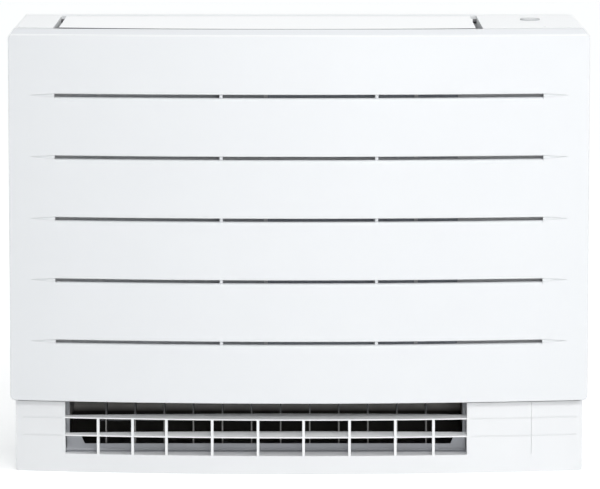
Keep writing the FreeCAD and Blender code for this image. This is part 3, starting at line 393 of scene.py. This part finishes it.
zinc = metal("zinc_steel", (0.58, 0.59, 0.60), (0.48, 0.49, 0.50), 0.42, 700.0)
dress(zinc, "left_end_plate", "right_end_plate", "control_box", "control_box_cover")
dress(zinc, "fan_motor", "step_motors")
steel = metal("bright_steel", (0.62, 0.62, 0.63), (0.52, 0.52, 0.53), 0.28, 900.0)
dress(steel, "fan_shaft", "motor_screws")
copper = metal("drawn_copper", (0.72, 0.36, 0.22), (0.56, 0.25, 0.15), 0.32, 900.0)
dress(copper, "return_bends", "gas_pipe", "liquid_pipe")
brass = metal("nut_brass", (0.70, 0.52, 0.25), (0.58, 0.42, 0.18), 0.34, 900.0)
dress(brass, "flare_nuts")


# Boards and terminal block in the control box and under the right cover: glass
# fibre board with green solder resist, and a black moulded block.
board_green = moulded("board_green", (0.03, 0.14, 0.07), (0.02, 0.10, 0.05), 0.35, 500.0, 0.06, coat=0.3)
dress(board_green, "circuit_board", "control_board")
terminal_black = moulded("terminal_black", (0.03, 0.03, 0.03), (0.02, 0.02, 0.02), 0.45, 900.0, 0.06)
dress(terminal_black, "terminal_block")


# Coil fins: three hundred thin aluminium sheets on the tubes, standing over the
# drain pan between the end plates; repeated along the coil by a node tree.
def fin_tree():
    tree = bpy.data.node_groups.new("coil_fins", "GeometryNodeTree")
    face = tree.interface
    face.new_socket("Geometry", in_out="INPUT", socket_type="NodeSocketGeometry")
    count = face.new_socket("Count", in_out="INPUT", socket_type="NodeSocketInt")
    size = face.new_socket("Fin Size", in_out="INPUT", socket_type="NodeSocketVector")
    start = face.new_socket("Start", in_out="INPUT", socket_type="NodeSocketVector")
    pitch = face.new_socket("Pitch", in_out="INPUT", socket_type="NodeSocketVector")
    skin = face.new_socket("Material", in_out="INPUT", socket_type="NodeSocketMaterial")
    face.new_socket("Geometry", in_out="OUTPUT", socket_type="NodeSocketGeometry")
    inputs = tree.nodes.new("NodeGroupInput")
    outputs = tree.nodes.new("NodeGroupOutput")
    line = tree.nodes.new("GeometryNodeMeshLine")
    line.mode = "OFFSET"
    fin = tree.nodes.new("GeometryNodeMeshCube")
    place = tree.nodes.new("GeometryNodeInstanceOnPoints")
    real = tree.nodes.new("GeometryNodeRealizeInstances")
    paint = tree.nodes.new("GeometryNodeSetMaterial")
    link = tree.links.new
    link(inputs.outputs["Count"], line.inputs["Count"])
    link(inputs.outputs["Start"], line.inputs["Start Location"])
    link(inputs.outputs["Pitch"], line.inputs["Offset"])
    link(inputs.outputs["Fin Size"], fin.inputs["Size"])
    link(line.outputs["Mesh"], place.inputs["Points"])
    link(fin.outputs["Mesh"], place.inputs["Instance"])
    link(place.outputs["Instances"], real.inputs["Geometry"])
    link(real.outputs["Geometry"], paint.inputs["Geometry"])
    link(inputs.outputs["Material"], paint.inputs["Material"])
    link(paint.outputs["Geometry"], outputs.inputs["Geometry"])
    return tree, (count, size, start, pitch, skin)


fin_low, fin_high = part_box("fin_pack")
fin_count = 300
fin_thick = 0.0002
fin_step = (fin_high[0] - fin_low[0] - fin_thick) / (fin_count - 1)
fin_nodes, fin_sockets = fin_tree()
fin_seed = bpy.data.objects.new("coil_fins_seed", bpy.data.meshes.new("coil_fins_seed"))
bpy.context.scene.collection.objects.link(fin_seed)
fin_modifier = fin_seed.modifiers.new("fins", "NODES")
fin_modifier.node_group = fin_nodes
fin_skin = metal("fin_aluminium", (0.60, 0.66, 0.72), (0.50, 0.56, 0.62), 0.38, 700.0)
fin_size = (fin_thick, fin_high[1] - fin_low[1], fin_high[2] - fin_low[2])
fin_start = (fin_low[0] + 0.5 * fin_thick, 0.5 * (fin_low[1] + fin_high[1]),
             0.5 * (fin_low[2] + fin_high[2]))
fin_values = (fin_count, fin_size, fin_start, (fin_step, 0.0, 0.0), fin_skin)
for socket, value in zip(fin_sockets, fin_values):
    fin_modifier[socket.identifier] = value
fin_graph = bpy.context.evaluated_depsgraph_get()
fin_mesh = bpy.data.meshes.new_from_object(fin_seed.evaluated_get(fin_graph))
bpy.data.objects.remove(fin_seed)
fins = bpy.data.objects.new("coil_fins", fin_mesh)
bpy.context.scene.collection.objects.link(fins)
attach(fins, "cabinet")
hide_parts("fin_pack")


# Studio floor: a wide white sheet that glows a little where it is looked at, more
# so further from the unit, so that only the soft shadow close by is seen.
def seen_rays(tree):
    path = tree.nodes.new("ShaderNodeLightPath")
    sight = tree.nodes.new("ShaderNodeMath")
    sight.operation = "MAXIMUM"
    seen = tree.nodes.new("ShaderNodeMath")
    seen.operation = "MAXIMUM"
    tree.links.new(path.outputs["Is Camera Ray"], sight.inputs[0])
    tree.links.new(path.outputs["Is Glossy Ray"], sight.inputs[1])
    tree.links.new(sight.outputs["Value"], seen.inputs[0])
    tree.links.new(path.outputs["Is Transmission Ray"], seen.inputs[1])
    return seen.outputs["Value"]


floor_half = 20.0
floor_corners = [(x * floor_half, y * floor_half, 0.0) for x, y in ((-1, -1), (1, -1), (1, 1), (-1, 1))]
floor_mesh = bpy.data.meshes.new("floor")
floor_mesh.from_pydata(floor_corners, [], [(0, 1, 2, 3)])
floor = bpy.data.objects.new("floor", floor_mesh)
bpy.context.scene.collection.objects.link(floor)
floor_paint = bpy.data.materials.new("floor_paint")
floor_paint.use_nodes = True
floor_tree = floor_paint.node_tree
floor_base = floor_tree.nodes["Principled BSDF"]
floor_base.inputs["Base Color"].default_value = (0.93, 0.93, 0.93, 1.0)
floor_base.inputs["Roughness"].default_value = 0.9
floor_spread = floor_tree.nodes.new("ShaderNodeMapRange")
floor_spread.inputs["From Min"].default_value = 0.45
floor_spread.inputs["From Max"].default_value = 2.2
floor_spread.inputs["To Min"].default_value = 0.36
floor_spread.inputs["To Max"].default_value = 0.63
floor_lift = floor_tree.nodes.new("ShaderNodeMath")
floor_lift.operation = "MULTIPLY"
floor_glow = floor_tree.nodes.new("ShaderNodeEmission")
floor_sum = floor_tree.nodes.new("ShaderNodeAddShader")
floor_reach = distance(floor_tree, (0.0, 0.0, 0.0), (1.0, 1.0, 1.0))
floor_tree.links.new(floor_reach, floor_spread.inputs["Value"])
floor_tree.links.new(seen_rays(floor_tree), floor_lift.inputs[0])
floor_tree.links.new(floor_spread.outputs["Result"], floor_lift.inputs[1])
floor_tree.links.new(floor_lift.outputs["Value"], floor_glow.inputs["Strength"])
floor_tree.links.new(floor_base.outputs["BSDF"], floor_sum.inputs[0])
floor_tree.links.new(floor_glow.outputs["Emission"], floor_sum.inputs[1])
floor_tree.links.new(floor_sum.outputs["Shader"], floor_tree.nodes["Material Output"].inputs["Surface"])
floor_mesh.materials.append(floor_paint)


# Studio light: a plain room that is white to look at and lights softly and a
# little cool, a key lamp from the right, one lamp level with the camera that
# reaches into the slots, one higher up in front and one above.
world = bpy.data.worlds.new("studio")
bpy.context.scene.world = world
world.use_nodes = True
world_tree = world.node_tree
sky = world_tree.nodes["Background"]
sky.inputs["Color"].default_value = (0.935, 0.985, 1.0, 1.0)
sky.inputs["Strength"].default_value = 0.34
backdrop = world_tree.nodes.new("ShaderNodeBackground")
backdrop.inputs["Color"].default_value = (1.0, 1.0, 1.0, 1.0)
pick = world_tree.nodes.new("ShaderNodeMixShader")
world_tree.links.new(seen_rays(world_tree), pick.inputs["Fac"])
world_tree.links.new(sky.outputs["Background"], pick.inputs[1])
world_tree.links.new(backdrop.outputs["Background"], pick.inputs[2])
world_tree.links.new(pick.outputs["Shader"], world_tree.nodes["World Output"].inputs["Surface"])


def lamp(name, place, target, size, watts):
    data = bpy.data.lights.new(name, "AREA")
    data.shape = "RECTANGLE"
    data.size = size[0]
    data.size_y = size[1]
    data.energy = watts
    light = bpy.data.objects.new(name, data)
    bpy.context.scene.collection.objects.link(light)
    light.location = place
    aim = [t - p for t, p in zip(target, place)]
    flat = math.hypot(aim[0], aim[1])
    light.rotation_euler = (math.atan2(flat, -aim[2]), 0.0, math.atan2(-aim[0], aim[1]))


lamp("key", place=(2.6, -2.2, 2.0), target=(0.1, -0.1, 0.3), size=(1.8, 1.8), watts=35.0)
lamp("front", place=(0.4, -4.3, 0.74), target=(0.0, -0.1, 0.0), size=(0.9, 0.3), watts=21.0)
lamp("upper_front", place=(0.3, -3.0, 2.3), target=(0.0, -2.2, 0.0), size=(1.2, 0.4), watts=35.0)
lamp("top", place=(0.0, -0.2, 2.6), target=(0.0, 0.0, 0.3), size=(2.0, 1.6), watts=20.5)


# Camera: straight in front, a little above the unit and tipped down, with the long
# lens and the shift that put the outline and the slots where the photograph has them.
camera_tip = 0.089
camera_data = bpy.data.cameras.new("camera")
camera = bpy.data.objects.new("camera", camera_data)
bpy.context.scene.collection.objects.link(camera)
bpy.context.scene.camera = camera
camera.location = (-0.00065, -4.7117, 0.8192)
camera.rotation_euler = (math.radians(90.0) - camera_tip, 0.0, 0.0)
camera_data.sensor_width = 36.0
camera_data.lens = 215.57
camera_data.shift_x = 0.0026
camera_data.shift_y = -0.14
camera_data.clip_end = 100.0
bpy.context.scene.view_settings.view_transform = "Standard"
